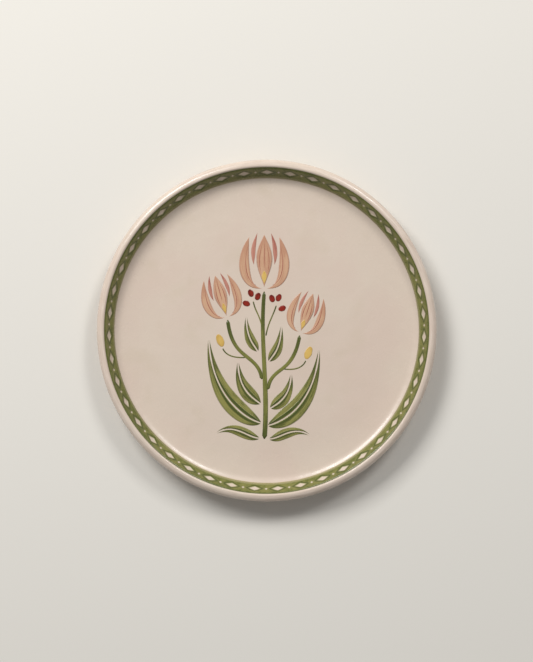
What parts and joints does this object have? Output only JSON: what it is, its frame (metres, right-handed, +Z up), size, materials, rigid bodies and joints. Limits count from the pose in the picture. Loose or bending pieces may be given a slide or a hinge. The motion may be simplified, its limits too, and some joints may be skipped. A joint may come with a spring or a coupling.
{
  "type": "side plate",
  "caption": "Round glazed stoneware coupe plate with an upturned rim, a painted lozenge band and a flower spray in its well",
  "frame": {"origin": "on the plate's axis, on the plane that the foot ring stands on", "axes": "+Z up along the plate's axis, out of the well; +Y from the root of the painted spray to its top flower; +X to the right, seen from above"},
  "size_m": [0.215, 0.215, 0.0195],
  "materials": {
    "clay": "bare fired clay, matt",
    "glaze": "ivory gloss glaze",
    "band_enamel": "green enamel, gloss",
    "line_enamel": "dark green enamel, gloss",
    "stem_enamel": "green enamel, gloss",
    "leaf_enamel": "brushed green enamel, gloss",
    "shade_enamel": "brushed dark green enamel, gloss",
    "petal_enamel": "blush pink enamel, gloss",
    "back_petal_enamel": "rose enamel, gloss",
    "vein_enamel": "dark rose enamel, gloss",
    "berry_enamel": "deep red enamel, gloss",
    "yellow_enamel": "ochre yellow enamel, gloss"
  },
  "bodies": {
    "root": {"biscuit_body": "clay", "glaze_coat": "glaze", "base_glaze": "glaze", "rim_band": "band_enamel", "band_edge_lines": "line_enamel", "stem_print": "stem_enamel", "leaf_print": "leaf_enamel", "leaf_shading": "shade_enamel", "petal_print": "petal_enamel", "back_petal_print": "back_petal_enamel", "petal_veins": "vein_enamel", "berry_print": "berry_enamel", "yellow_print": "yellow_enamel"}
  },
  "joints": []
}
